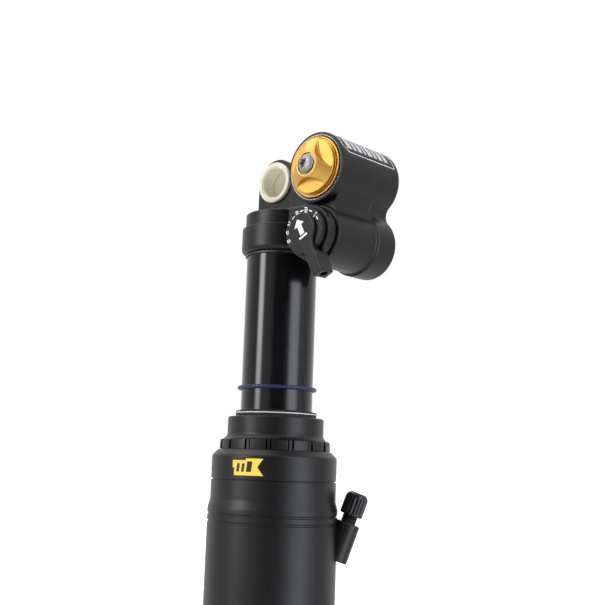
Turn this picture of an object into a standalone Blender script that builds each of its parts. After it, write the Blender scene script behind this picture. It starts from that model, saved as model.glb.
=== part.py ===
"""Rear shock with a piggyback reservoir, built as separate solids.

Metres, +Z up. The origin is the centre of the upper eye. The shock's axis is Z, the eye bores lie
along Y, and the reservoir hangs on the +X side. At rest the shock is fully extended.
"""

import math

import bmesh
import bpy
from mathutils import Matrix, Vector

# --- driving dimensions -------------------------------------------------------------------------
EYE_TO_EYE = 0.250
STROKE = 0.075
GAP = 0.0003                 # between solids that touch in the real thing

TUBE_R = 0.018
TUBE_WALL = 0.0016
TUBE_TOP = -0.0303
TUBE_END = -0.1478
INNER_TUBE_R = 0.0140
INNER_TUBE_WALL = 0.0011

EYE_R = 0.0125               # rounded end of both lugs
LUG_HALF = 0.0065
BUSH_BORE_R = 0.00767
BUSH_SLEEVE_R = 0.0092
BUSH_FLANGE_R = 0.0106
BUSH_FACE = 0.00863

COLLAR_TOP = -0.0170
COLLAR_STEP = -0.0244
COLLAR_END = -0.0379
COLLAR_R = 0.0209
COLLAR_NECK_R = 0.0193

POD_X = 0.0404               # both cylinders beside the head share this x
RES_Z = -0.0022
RES_R = 0.0174
RES_FRONT = -0.0214
RES_REAR = 0.0230
RES_BORE_R = 0.0149
LOBE_Z = -0.0346
LOBE_R = 0.0143
LOBE_REAR_R = 0.0160
LOBE_FRONT = -0.0193
LOBE_STEP = 0.0080
LOBE_BORE_R = 0.0105

CAP_FACE = -0.0240           # outer rim of the gold cap
CAP_BOSS = -0.0283
CAP_R = 0.0134
CAP_FLANGE_R = 0.0153
BOLT_HEAD_R = 0.00475

DIAL_R = 0.0113
DIAL_FACE = -0.0283
LEVER_FACE = -0.0303
LEVER_ANGLE = math.radians(-62.8)
LEVER_LENGTH = 0.0245
WHEEL_R = 0.0129

SEAM_Z = -0.1514             # joint between the two halves of the air can
NECK_TOP = -0.1206
NECK_R = 0.0240
CASTLE_TOP = -0.1321
CASTLE_END = -0.1366
CASTLE_R = 0.0274
CASTLE_SLOTS = 16
CAN_R = 0.0311
CAN_BORE_R = 0.0284
SHROUD_R = 0.0322
SHROUD_TOP = -0.1650
CAN_END = -0.2322
BASE_END = -0.2389
KNOB_X = 0.0212              # rebound knob, under the can beside the lower eye
KNOB_R = 0.0052
WIPER_R = 0.0202
RING_Z = -0.1061

VALVE_AZIMUTH = math.radians(42.6)
VALVE_LEAN = math.radians(19.0)
VALVE_RADIAL = 0.0388        # foot of the cap, out from the shock's axis
VALVE_FOOT_Z = -0.1672
VALVE_CAP_R = 0.0057
VALVE_CAP_L = 0.0115

ROD_R = 0.0060
IFP_R = 0.0146

BIG, MID, SMALL = 28, 20, 12   # facets round a turn


# --- materials ----------------------------------------------------------------------------------
def material(name, colour, roughness, metallic):
    made = bpy.data.materials.get(name) or bpy.data.materials.new(name)
    made.use_nodes = True
    shader = made.node_tree.nodes["Principled BSDF"]
    shader.inputs["Base Color"].default_value = (*colour, 1.0)
    shader.inputs["Roughness"].default_value = roughness
    shader.inputs["Metallic"].default_value = metallic
    made.diffuse_color = (*colour, 1.0)
    return made


def black_alloy():
    return material("black_anodised_alloy", (0.030, 0.031, 0.034), 0.45, 0.6)


def gloss_black():
    return material("polished_black_tube", (0.012, 0.012, 0.014), 0.12, 0.7)


def gold_alloy():
    return material("gold_anodised_alloy", (0.83, 0.58, 0.20), 0.28, 1.0)


def steel():
    return material("bright_steel", (0.62, 0.63, 0.65), 0.25, 1.0)


def dark_steel():
    return material("dark_steel", (0.16, 0.16, 0.17), 0.40, 0.9)


def rubber():
    return material("black_rubber", (0.018, 0.018, 0.019), 0.75, 0.0)


def blue_rubber():
    return material("blue_rubber", (0.10, 0.17, 0.52), 0.55, 0.0)


def cream_polymer():
    return material("cream_polymer", (0.80, 0.76, 0.60), 0.45, 0.0)


def valve_plastic():
    return material("black_plastic", (0.020, 0.021, 0.024), 0.50, 0.0)


def bronze():
    return material("bronze_ptfe", (0.35, 0.25, 0.13), 0.50, 0.6)


# --- building blocks ----------------------------------------------------------------------------
def clear_scene():
    for thing in list(bpy.data.objects):
        bpy.data.objects.remove(thing, do_unlink=True)


def arc(x, y, radius, start, stop, steps):
    """Points along a circle, angles in degrees."""
    turn = [math.radians(start + (stop - start) * i / steps) for i in range(steps + 1)]
    return [(x + radius * math.cos(a), y + radius * math.sin(a)) for a in turn]


def finish(mesh_data, name, look):
    bmesh.ops.recalc_face_normals(mesh_data, faces=mesh_data.faces)
    mesh = bpy.data.meshes.new(name)
    mesh_data.to_mesh(mesh)
    mesh_data.free()
    thing = bpy.data.objects.new(name, mesh)
    bpy.context.scene.collection.objects.link(thing)
    if look:
        mesh.materials.append(look)
    return thing


def revolve(name, look, profile, segments=BIG, axis="Z", at=(0, 0, 0)):
    """Solid of revolution from (radius, height) points; a radius of 0 closes on the axis."""
    data = bmesh.new()
    rings = []
    for radius, height in profile:
        if radius == 0:
            rings.append([data.verts.new((0, 0, height))])
            continue
        turns = [2 * math.pi * i / segments for i in range(segments)]
        rings.append([data.verts.new((radius * math.cos(t), radius * math.sin(t), height)) for t in turns])
    for low, high in zip(rings, rings[1:] + rings[:1]):
        if len(low) == 1 and len(high) == 1:
            continue
        for i in range(segments):
            j = (i + 1) % segments
            corner = [low[i % len(low)], low[j % len(low)], high[j % len(high)], high[i % len(high)]]
            data.faces.new(list(dict.fromkeys(corner)))
    if axis == "Y":
        bmesh.ops.transform(data, matrix=Matrix.Rotation(-math.pi / 2, 4, "X"), verts=data.verts)
    if axis == "X":
        bmesh.ops.transform(data, matrix=Matrix.Rotation(math.pi / 2, 4, "Y"), verts=data.verts)
    thing = finish(data, name, look)
    thing.location = at
    return thing


def ring(name, look, inner, outer, low, high, segments=BIG, axis="Z", at=(0, 0, 0)):
    loop = [(inner, low), (outer, low), (outer, high), (inner, high)]
    return revolve(name, look, loop, segments, axis, at)


def rod(name, look, radius, low, high, segments=BIG, axis="Z", at=(0, 0, 0)):
    return revolve(name, look, [(0, low), (radius, low), (radius, high), (0, high)], segments, axis, at)


def slab(name, look, outline, low, high, at=(0, 0, 0)):
    """Outline in X and Z, drawn out along Y."""
    data = bmesh.new()
    near = [data.verts.new((x, low, z)) for x, z in outline]
    far = [data.verts.new((x, high, z)) for x, z in outline]
    data.faces.new(near)
    data.faces.new(far)
    for i, _ in enumerate(outline):
        j = (i + 1) % len(outline)
        data.faces.new([near[i], near[j], far[j], far[i]])
    thing = finish(data, name, look)
    thing.location = at
    return thing


def block(name, look, low, high):
    outline = [(low[0], low[2]), (high[0], low[2]), (high[0], high[2]), (low[0], high[2])]
    return slab(name, look, outline, low[1], high[1])


def combine(target, tool, operation):
    step = target.modifiers.new(operation.lower() + "_" + tool.name, "BOOLEAN")
    step.operation = operation
    step.solver = "EXACT"
    step.object = tool
    tool.hide_render = True
    tool.display_type = "WIRE"


def cut(target, *tools):
    for tool in tools:
        combine(target, tool, "DIFFERENCE")


def fuse(target, *tools):
    for tool in tools:
        combine(target, tool, "UNION")


def carrier(name, location):
    """Empty on a joint's axis, that the pieces of one moving body hang on."""
    empty = bpy.data.objects.new(name, None)
    empty.empty_display_size = 0.01
    empty.location = location
    bpy.context.scene.collection.objects.link(empty)
    return empty


def hang(parent, *things):
    for thing in things:
        thing.parent = parent
        thing.location = Vector(thing.location) - Vector(parent.location)


# --- head ---------------------------------------------------------------------------------------
def lug_outline(centre, sign, foot):
    """Rounded end on an eye; sign +1 points the round end up."""
    start, stop = (0, 180) if sign > 0 else (180, 360)
    return [(EYE_R * sign, foot)] + arc(0, centre, EYE_R, start, stop, 14) + [(-EYE_R * sign, foot)]


def waist_outline(lower_r, fillet):
    """Web between the two cylinders, hollowed on both sides by an arc that touches both."""
    span = RES_Z - LOBE_Z
    up, down = RES_R + fillet, lower_r + fillet
    rise = (down ** 2 - up ** 2 + span ** 2) / (2 * span)
    out = math.sqrt(down ** 2 - rise ** 2)
    top = math.degrees(math.atan2(span - rise, -out))
    low = math.degrees(math.atan2(-rise, -out)) + 360
    side = arc(out, LOBE_Z + rise, fillet + 0.00015, top, low, 7)
    right = [(POD_X + x, z) for x, z in side]
    left = [(POD_X - x, z) for x, z in reversed(side)]
    return right + left


def head_collar():
    edge = arc(COLLAR_R - 0.0026, COLLAR_END + 0.0026, 0.0026, -90, 0, 3)
    shoulder = arc(COLLAR_R - 0.0009, COLLAR_STEP - 0.0009, 0.0009, 0, 90, 1)
    crown = arc(COLLAR_NECK_R - 0.0007, COLLAR_TOP - 0.0007, 0.0007, 0, 90, 1)
    outline = [(0, COLLAR_END)] + edge + shoulder + [(COLLAR_NECK_R, COLLAR_STEP)] + crown
    return revolve("collar_form", None, outline + [(0, COLLAR_TOP)])


def reservoir_form():
    nose = arc(RES_R - 0.0012, RES_FRONT + 0.0012, 0.0012, -90, 0, 2)
    tail = arc(RES_R - 0.0017, RES_REAR - 0.0017, 0.0017, 0, 90, 2)
    outline = [(0, RES_FRONT)] + nose + tail + [(0, RES_REAR)]
    return revolve("reservoir_form", None, outline, BIG, "Y", (POD_X, 0, RES_Z))


def lobe_forms():
    nose = arc(LOBE_R - 0.0010, LOBE_FRONT + 0.0010, 0.0010, -90, 0, 1)
    front = [(0, LOBE_FRONT)] + nose + [(LOBE_R + 0.0006, LOBE_STEP + 0.0010), (0, LOBE_STEP + 0.0010)]
    small = revolve("lobe_form", None, front, BIG, "Y", (POD_X, 0, LOBE_Z))
    tail = arc(LOBE_REAR_R - 0.0016, RES_REAR - 0.0018, 0.0016, 0, 90, 2)
    rear = [(0, LOBE_STEP), (LOBE_REAR_R - 0.0006, LOBE_STEP), (LOBE_REAR_R, LOBE_STEP + 0.0006)]
    large = revolve("lobe_rear_form", None, rear + tail + [(0, RES_REAR - 0.0002)], BIG, "Y", (POD_X, 0, LOBE_Z))
    return small, large


def head_casting():
    casting = slab("head_casting", black_alloy(), lug_outline(0, 1, -0.0185), -LUG_HALF, LUG_HALF)
    small, large = lobe_forms()
    web = slab("web_form", None, waist_outline(LOBE_R, 0.0080), -0.0170, 0.0085)
    rear_web = slab("rear_web_form", None, waist_outline(LOBE_REAR_R, 0.0055), LOBE_STEP + 0.0001, RES_REAR - 0.0006)
    upper_bridge = block("upper_bridge", None, (0.004, -0.0062, -0.020), (0.030, 0.0062, 0.0040))
    lower_bridge = block("lower_bridge", None, (0.009, -0.0120, -0.0357), (0.034, 0.0120, -0.0155))
    fuse(casting, head_collar(), reservoir_form(), small, large, web, rear_web, upper_bridge, lower_bridge)
    eye = rod("eye_bore", None, BUSH_SLEEVE_R + GAP, -0.02, 0.02, MID, "Y")
    steps = [(0, -0.060), (TUBE_R + GAP, -0.060), (TUBE_R + GAP, TUBE_TOP + GAP), (0.0155, TUBE_TOP + GAP)]
    socket = revolve("tube_socket", None, steps + [(0.0155, -0.0215), (0, -0.0215)])
    mouth_r, mouth_end = CAP_FLANGE_R + GAP, -0.0199
    steps = [(0, -0.030), (mouth_r, -0.030), (mouth_r, mouth_end), (RES_BORE_R, mouth_end)]
    steps += [(RES_BORE_R, 0.0205), (0, 0.0205)]
    chamber = revolve("reservoir_bore", None, steps, BIG, "Y", (POD_X, 0, RES_Z))
    well = rod("lobe_bore", None, LOBE_BORE_R, -0.030, 0.0200, MID, "Y", (POD_X, 0, LOBE_Z))
    across = rod("oil_way", None, 0.0022, 0.010, 0.0355, 8, "X", (0, 0, -0.0262))
    upward = rod("gas_way", None, 0.0025, -0.028, -0.012, 8, "Z", (POD_X, 0.0158, 0))
    cut(casting, eye, socket, chamber, well, across, upward)
    return casting


def bush(name, centre, side):
    """One half of a flanged bush; side is -1 at the front and +1 at the rear."""
    loop = [
        (BUSH_BORE_R, GAP / 2), (BUSH_SLEEVE_R, GAP / 2), (BUSH_SLEEVE_R, LUG_HALF + GAP),
        (BUSH_FLANGE_R, LUG_HALF + GAP), (BUSH_FLANGE_R, BUSH_FACE - 0.0004), (BUSH_FLANGE_R - 0.0004, BUSH_FACE),
        (BUSH_BORE_R + 0.0009, BUSH_FACE), (BUSH_BORE_R, BUSH_FACE - 0.0010),
    ]
    placed = [(r, side * h) for r, h in loop]
    return revolve(name, cream_polymer(), placed, MID, "Y", (0, 0, centre))


def damper_tube():
    inner = TUBE_R - TUBE_WALL
    return ring("damper_tube", gloss_black(), inner, TUBE_R, TUBE_END, TUBE_TOP)


def inner_tube():
    return ring("inner_tube", dark_steel(), INNER_TUBE_R - INNER_TUBE_WALL, INNER_TUBE_R, -0.1368, -0.0240, MID)


def collar_ring():
    return ring("collar_ring", dark_steel(), TUBE_R + GAP, 0.0190, COLLAR_END - 0.0012, COLLAR_END - GAP, BIG)


def rod_guide():
    """Closes the damper tube round the rod, and clamps the air piston under the tube."""
    loop = [
        (ROD_R + GAP, -0.1500), (0.0196, -0.1500), (0.0196, TUBE_END - 2 * GAP - 0.0003),
        (TUBE_R - TUBE_WALL - GAP, TUBE_END - 2 * GAP - 0.0003), (TUBE_R - TUBE_WALL - GAP, -0.1371),
        (0.0095, -0.1371), (0.0095, -0.1400), (ROD_R + GAP, -0.1400),
    ]
    return revolve("rod_guide", dark_steel(), loop, MID)


def rod_seal():
    return ring("rod_seal", rubber(), ROD_R + 0.0001, 0.0092, -0.1397, -0.1374, SMALL)


def air_piston():
    groove_low, groove_high = -0.1462, -0.1430
    loop = [
        (TUBE_R + GAP, -0.1484), (0.0279, -0.1484), (0.0279, groove_low), (0.0256, groove_low),
        (0.0256, groove_high), (0.0279, groove_high), (0.0279, -0.1403), (TUBE_R + GAP, -0.1403),
    ]
    return revolve("air_piston", dark_steel(), loop)


def air_piston_seal():
    return ring("air_piston_seal", rubber(), 0.0259, 0.0282, -0.1459, -0.1433, BIG)


# --- reservoir ----------------------------------------------------------------------------------
def reservoir_cap():
    side = CAP_FACE + 0.0008
    profile = [
        (0.0027, CAP_BOSS + 0.0008), (0.0053, CAP_BOSS + 0.0008), (0.0053, CAP_BOSS), (0.0062, CAP_BOSS),
        (CAP_R, CAP_FACE), (CAP_R, side), (CAP_R - 0.0008, side), (CAP_R - 0.0008, -0.0224), (CAP_FLANGE_R, -0.0224),
        (CAP_FLANGE_R, -0.0202), (RES_BORE_R - GAP, -0.0202), (RES_BORE_R - GAP, -0.0180),
        (0.0131, -0.0180), (0.0131, -0.0158), (RES_BORE_R - GAP, -0.0158), (RES_BORE_R - GAP, -0.0142),
        (0.0115, -0.0142), (0.0115, -0.0208), (0.0027, -0.0208),
    ]
    cap = revolve("reservoir_cap", gold_alloy(), profile, BIG, "Y", (POD_X, 0, RES_Z))
    reach = 0.0229
    for index, turn in enumerate((30, 150, 270)):
        x = POD_X + reach * math.cos(math.radians(turn))
        z = RES_Z + reach * math.sin(math.radians(turn))
        cut(cap, rod("cap_scoop_%d" % index, None, 0.0161, -0.034, CAP_FACE + 0.0001, BIG, "Y", (x, 0, z)))
    return cap


def cap_seal():
    return ring("cap_seal", rubber(), 0.0133, 0.0147, -0.0178, -0.0160, MID, "Y", (POD_X, 0, RES_Z))


def button_bolt():
    """Button head with a six-lobed socket, closing the gas port."""
    seat = CAP_BOSS + 0.0008 - GAP
    dome = arc(0, seat - 0.0007, 0.00475, 0, -62, 3)
    head = [(r, seat - 0.0007 - (seat - 0.0007 - h) * 0.46) for r, h in dome]
    crown = head[-1][1]
    profile = [(0, -0.0165), (0.0024, -0.0165), (0.0024, seat), (BOLT_HEAD_R, seat)] + head + [(0, crown)]
    bolt = revolve("cap_bolt", steel(), profile, MID, "Y", (POD_X, 0, RES_Z))
    lobes = [
        (0.00125 + 0.00035 * math.cos(math.radians(6 * 15 * i)))
        for i in range(24)
    ]
    star = [(r * math.cos(math.radians(15 * i)), r * math.sin(math.radians(15 * i))) for i, r in enumerate(lobes)]
    cut(bolt, slab("bolt_socket", None, star, crown - 0.001, crown + 0.0016, (POD_X, 0, RES_Z)))
    return bolt


def floating_piston():
    loop = [
        (0, 0.0050), (0.0120, 0.0050), (IFP_R, 0.0050), (IFP_R, 0.0074), (0.0131, 0.0074),
        (0.0131, 0.0100), (IFP_R, 0.0100), (IFP_R, 0.0125), (0.0100, 0.0125), (0.0100, 0.0085), (0, 0.0085),
    ]
    return revolve("floating_piston", dark_steel(), loop, MID, "Y", (POD_X, 0, RES_Z))


def floating_piston_seal():
    return ring("floating_piston_seal", rubber(), 0.0133, 0.0147, 0.0077, 0.0097, MID, "Y", (POD_X, 0, RES_Z))


# --- compression adjuster -----------------------------------------------------------------------
def compression_cartridge():
    loop = [
        (0.0054, -0.0186), (LOBE_BORE_R - GAP, -0.0186), (LOBE_BORE_R - GAP, 0.0120), (0.0072, 0.0120),
        (0.0072, -0.0060), (0.0054, -0.0060),
    ]
    return revolve("compression_cartridge", dark_steel(), loop, MID, "Y", (POD_X, 0, LOBE_Z))


def compression_needle():
    loop = [(0, 0.0000), (0.0030, 0.0000), (0.0030, 0.0090), (0.0012, 0.0135), (0, 0.0135)]
    return revolve("compression_needle", steel(), loop, SMALL, "Y", (POD_X, 0, LOBE_Z))


def low_speed_wheel():
    back, front = LOBE_FRONT - 0.0004, DIAL_FACE + 0.0034
    loop = [
        (0.0034, -0.0080), (0.0051, -0.0080), (0.0051, back), (WHEEL_R - 0.0005, back),
        (WHEEL_R, back - 0.0005), (WHEEL_R, front + 0.0005), (WHEEL_R - 0.0005, front), (0.0034, front),
    ]
    wheel = revolve("low_speed_wheel", black_alloy(), loop, BIG, "Y", (POD_X, 0, LOBE_Z))
    for index in range(12):
        turn = math.radians(30 * index + 15)
        x, z = (WHEEL_R + 0.0011) * math.cos(turn), (WHEEL_R + 0.0011) * math.sin(turn)
        name = "wheel_flute_%02d" % index
        cut(wheel, rod(name, None, 0.0016, -0.030, -0.0160, 8, "Y", (POD_X + x, 0, LOBE_Z + z)))
    return wheel


def lever_outline():
    """Round head that necks down to a straight tail, drawn pointing along +X."""
    round_r, half, blend = 0.0081, 0.0032, 0.0060
    across = half + blend
    reach = math.sqrt((round_r + blend) ** 2 - across ** 2)
    slope = math.degrees(math.atan2(across, reach))
    head = arc(0, 0, round_r, slope, 360 - slope, 14)
    low = arc(reach, -across, blend, 180 - slope, 90, 3)[1:]
    high = arc(reach, across, blend, 270, 180 + slope, 3)[:-1]
    return head + low + [(LEVER_LENGTH, -half), (LEVER_LENGTH, half)] + high


def turned(points, angle):
    c, s = math.cos(angle), math.sin(angle)
    return [(x * c - z * s, x * s + z * c) for x, z in points]


def compression_lever():
    at = (POD_X, 0, LOBE_Z)
    rim = [
        (0, -0.0022), (0.0030, -0.0022), (0.0030, DIAL_FACE + 0.0031), (DIAL_R - 0.0004, DIAL_FACE + 0.0031),
        (DIAL_R, DIAL_FACE + 0.0027), (DIAL_R, DIAL_FACE + 0.0004), (DIAL_R - 0.0004, DIAL_FACE), (0, DIAL_FACE),
    ]
    lever = revolve("compression_lever", black_alloy(), rim, BIG, "Y", at)
    pad = slab("lever_pad", None, turned(lever_outline(), LEVER_ANGLE), LEVER_FACE, DIAL_FACE + 0.0016, at)
    root, tip, half = 0.0137, LEVER_LENGTH - 0.0001, 0.0034
    tail_shape = [(root, -half - 0.0004), (tip, -half + 0.0005), (tip, half - 0.0005), (root, half + 0.0004)]
    tail = slab("lever_tail", None, turned(tail_shape, LEVER_ANGLE), LEVER_FACE + 0.0002, -0.0216, at)
    fuse(lever, pad, tail)
    hole = rod("lever_hole", None, 0.0017, 0.0150, 0.0300, 12, "X")
    hole.rotation_euler = (0, -LEVER_ANGLE, 0)
    hole.location = (POD_X, -0.0256, LOBE_Z)
    cut(lever, hole)
    return lever


def lever_screw():
    screw = rod("lever_screw", dark_steel(), 0.0014, 0.0155, 0.0205, 12, "X")
    screw.rotation_euler = (0, -LEVER_ANGLE, 0)
    screw.location = (POD_X, -0.0256, LOBE_Z)
    return screw


# --- air can ------------------------------------------------------------------------------------
def seal_head():
    """Neck round the tube, with a castellated ring for a pin spanner."""
    bore = TUBE_R + 0.0004
    cove = arc(CASTLE_R + 0.0004, CASTLE_TOP + 0.0036, 0.0036, 180, 256, 3)
    outside = [(r - 0.0004, h) for r, h in cove if r > NECK_R + 0.0005]
    profile = [
        (0.0206, NECK_TOP), (NECK_R - 0.0009, NECK_TOP), (NECK_R, NECK_TOP - 0.0009), (NECK_R, CASTLE_TOP + 0.0028),
    ] + outside + [
        (CASTLE_R, CASTLE_TOP), (CASTLE_R + 0.0003, CASTLE_END), (0.0268, CASTLE_END),
        (0.0268, -0.1397), (bore, -0.1397), (bore, -0.1382), (0.0198, -0.1382), (0.0198, -0.1322),
        (bore, -0.1322), (bore, -0.1303), (0.0212, -0.1303), (0.0212, -0.1266), (bore, -0.1266),
        (bore, -0.1240), (0.0206, -0.1240),
    ]
    head = revolve("seal_head", black_alloy(), profile)
    data = bmesh.new()
    half_width, depth = 0.0015, 0.0016
    for index in range(CASTLE_SLOTS):
        turn = math.radians(-7.5 + 360 / CASTLE_SLOTS * index)
        cube = bmesh.ops.create_cube(data, size=1.0)["verts"]
        size = Matrix.Diagonal((0.006, 2 * half_width, CASTLE_TOP - CASTLE_END + 0.0014, 1))
        out = Matrix.Translation((CASTLE_R - depth + 0.003, 0, (CASTLE_TOP + CASTLE_END) / 2 + 0.0003))
        bmesh.ops.transform(data, matrix=Matrix.Rotation(turn, 4, "Z") @ out @ size, verts=cube)
    cut(head, finish(data, "castle_slots", None))
    return head


def wiper_seal():
    loop = [
        (TUBE_R + 0.0002, -0.1237), (WIPER_R, -0.1237), (WIPER_R, NECK_TOP + 0.0014),
        (0.0189, NECK_TOP + 0.0014), (0.0189, NECK_TOP + 0.0024), (WIPER_R, NECK_TOP + 0.0024),
        (WIPER_R, NECK_TOP + 0.0028), (TUBE_R + 0.0002, NECK_TOP + 0.0034),
    ]
    return revolve("wiper_seal", rubber(), loop)


def wiper_ring():
    return ring("wiper_ring", steel(), 0.0191, 0.0205, NECK_TOP + 0.0016, NECK_TOP + 0.0022)


def neck_seal():
    return ring("neck_seal", rubber(), TUBE_R + 0.0002, 0.0209, -0.1300, -0.1269)


def neck_bushing():
    return ring("neck_bushing", bronze(), TUBE_R + 0.0001, 0.0195, -0.1379, -0.1325)


def can_upper():
    loop = [
        (0.0271, CASTLE_END - GAP), (0.0281, CASTLE_END - GAP), (CAN_R - 0.0010, -0.1391),
        (CAN_R, -0.1405), (CAN_R, SEAM_Z + 0.0002),
        (0.0301, SEAM_Z + 0.0002), (0.0301, SEAM_Z - 0.0040), (CAN_BORE_R, SEAM_Z - 0.0040),
        (CAN_BORE_R, -0.1402), (0.0271, -0.1394),
    ]
    return revolve("can_upper", black_alloy(), loop)


def valve_frame(distance):
    """Point and direction on the valve's axis, that far above the foot of its cap."""
    outward = Vector((math.cos(VALVE_AZIMUTH), math.sin(VALVE_AZIMUTH), 0))
    along = outward * math.sin(VALVE_LEAN) + Vector((0, 0, math.cos(VALVE_LEAN)))
    return outward * VALVE_RADIAL + Vector((0, 0, VALVE_FOOT_Z)) + along * distance, along


def on_valve_axis(thing):
    point, along = valve_frame(0)
    thing.rotation_euler = Vector((0, 0, 1)).rotation_difference(along).to_euler()
    thing.location = point
    return thing


def can_lower():
    cove = [(CAN_R + 0.0001, -0.1618), (CAN_R + 0.0005, -0.1634), (SHROUD_R, SHROUD_TOP)]
    grooves = []
    for top in (-0.1675, -0.1712):
        grooves += [(SHROUD_R, top), (SHROUD_R - 0.0004, top - 0.0006), (SHROUD_R, top - 0.0012)]
    foot = arc(SHROUD_R - 0.0028, CAN_END + 0.0028, 0.0028, 0, -90, 2)
    loop = [
        (0.0304, SEAM_Z - 0.0001), (CAN_R, SEAM_Z - 0.0001),
    ] + cove + grooves + foot + [(0.0292, CAN_END), (0.0292, CAN_END + 0.0034), (CAN_BORE_R, CAN_END + 0.0034),
                                 (CAN_BORE_R, SEAM_Z - 0.0066), (0.0304, SEAM_Z - 0.0066)]
    can = revolve("can_lower", black_alloy(), loop)
    boss = on_valve_axis(rod("valve_boss", None, 0.0062, -0.0230, -0.0040, 16))
    fuse(can, boss)
    clean = rod("can_clearance", None, CAN_BORE_R, -0.2270, -0.1580)
    drill = on_valve_axis(rod("valve_drill", None, 0.0042, -0.0140, 0.0020, 12))
    port = on_valve_axis(rod("valve_port", None, 0.0014, -0.0345, -0.0120, 8))
    cut(can, clean, drill, port)
    return can


def seam_ring():
    return ring("seam_ring", rubber(), 0.0287, 0.0301, SEAM_Z - 0.0063, SEAM_Z - 0.0043, BIG)


def base_seal():
    return ring("base_seal", rubber(), 0.0270, 0.0282, -0.2282, -0.2272, BIG)


def can_base():
    """Screwed end of the can with the lower eye."""
    eye = -EYE_TO_EYE
    base = slab("can_base", black_alloy(), lug_outline(eye, -1, -0.2360), -LUG_HALF, LUG_HALF)
    disc = [
        (0, -0.2265), (0.0281, -0.2265), (0.0281, -0.2270), (0.0268, -0.2270), (0.0268, -0.2284),
        (0.0281, -0.2284), (0.0281, CAN_END - GAP - 0.0001), (0.0312, CAN_END - GAP - 0.0001),
        (0.0312, -0.2352), (0.0290, BASE_END + 0.0006), (0.0278, BASE_END), (0, BASE_END),
    ]
    fuse(base, revolve("base_form", None, disc))
    bore = rod("lower_eye_bore", None, BUSH_SLEEVE_R + GAP, -0.02, 0.02, MID, "Y", (0, 0, eye))
    socket = rod("rod_socket", None, ROD_R + GAP, -0.2350, -0.2200, SMALL)
    shaft = rod("knob_hole", None, 0.0024, BASE_END - 0.002, BASE_END + 0.0052, 12, "Z", (KNOB_X, 0, 0))
    way = rod("needle_way", None, 0.0024, -0.2372, -0.2300, 12)
    cut(base, bore, socket, shaft, way)
    return base


def piston_rod():
    return ring("piston_rod", steel(), 0.0026, ROD_R, -0.2347, -0.1210, SMALL)


def main_piston():
    inner = INNER_TUBE_R - INNER_TUBE_WALL
    loop = [
        (ROD_R + GAP, -0.1345), (inner - GAP, -0.1345), (inner - GAP, -0.1328), (0.0112, -0.1328),
        (0.0112, -0.1286), (inner - GAP, -0.1286), (inner - GAP, -0.1270), (ROD_R + GAP, -0.1270),
    ]
    return revolve("main_piston", dark_steel(), loop, MID)


def piston_band():
    return ring("piston_band", bronze(), 0.0115, 0.0127, -0.1325, -0.1289, MID)


def piston_nut():
    outline = arc(0, 0, 0.0092, 0, 300, 5)
    data = bmesh.new()
    low = [data.verts.new((x, y, -0.1267)) for x, y in outline]
    high = [data.verts.new((x, y, -0.1218)) for x, y in outline]
    data.faces.new(low)
    data.faces.new(high)
    for i in range(6):
        j = (i + 1) % 6
        data.faces.new([low[i], low[j], high[j], high[i]])
    nut = finish(data, "piston_nut", steel())
    cut(nut, rod("nut_hole", None, ROD_R + GAP, -0.13, -0.12, SMALL))
    return nut


def top_out_bumper():
    return ring("top_out_bumper", rubber(), ROD_R + GAP, 0.0088, -0.1368, -0.1348, SMALL)


def bottom_out_bumper():
    return ring("bottom_out_bumper", rubber(), ROD_R + GAP, 0.0130, -0.2262, -0.2254, MID)


def rebound_needle():
    return rod("rebound_needle", steel(), 0.0020, -0.2365, -0.1235, 12)


def rebound_knob():
    loop = [
        (0, 0.0045), (0.0021, 0.0045), (0.0021, -0.0004), (KNOB_R - 0.0004, -0.0004), (KNOB_R, -0.0008),
        (KNOB_R, -0.0056), (KNOB_R - 0.0006, -0.0062), (0, -0.0062),
    ]
    return revolve("rebound_knob", gold_alloy(), loop, MID, "Z", (KNOB_X, 0, BASE_END))


def valve_stem():
    loop = [(0.0018, -0.0135), (0.0039, -0.0135), (0.0039, 0.0080), (0.0035, 0.0085), (0.0018, 0.0085)]
    return on_valve_axis(revolve("valve_stem", steel(), loop, SMALL))


def valve_core():
    loop = [(0, -0.0110), (0.0012, -0.0110), (0.0012, 0.0060), (0.0007, 0.0070), (0.0007, 0.0082), (0, 0.0082)]
    return on_valve_axis(revolve("valve_core", bronze(), loop, 8))


def valve_cap():
    loop = [
        (0, VALVE_CAP_L), (0.0030, VALVE_CAP_L), (VALVE_CAP_R - 0.0006, VALVE_CAP_L - 0.0008),
        (VALVE_CAP_R, VALVE_CAP_L - 0.0022), (VALVE_CAP_R, 0.0006), (VALVE_CAP_R - 0.0005, 0),
        (0.0042, 0), (0.0042, 0.0090), (0, 0.0090),
    ]
    return on_valve_axis(revolve("valve_cap", valve_plastic(), loop, MID))


# --- travel marker ------------------------------------------------------------------------------
def travel_ring():
    section = arc(TUBE_R + 0.0011, RING_Z, 0.00095, 0, 315, 7)
    return revolve("travel_ring", blue_rubber(), section, BIG)


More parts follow.
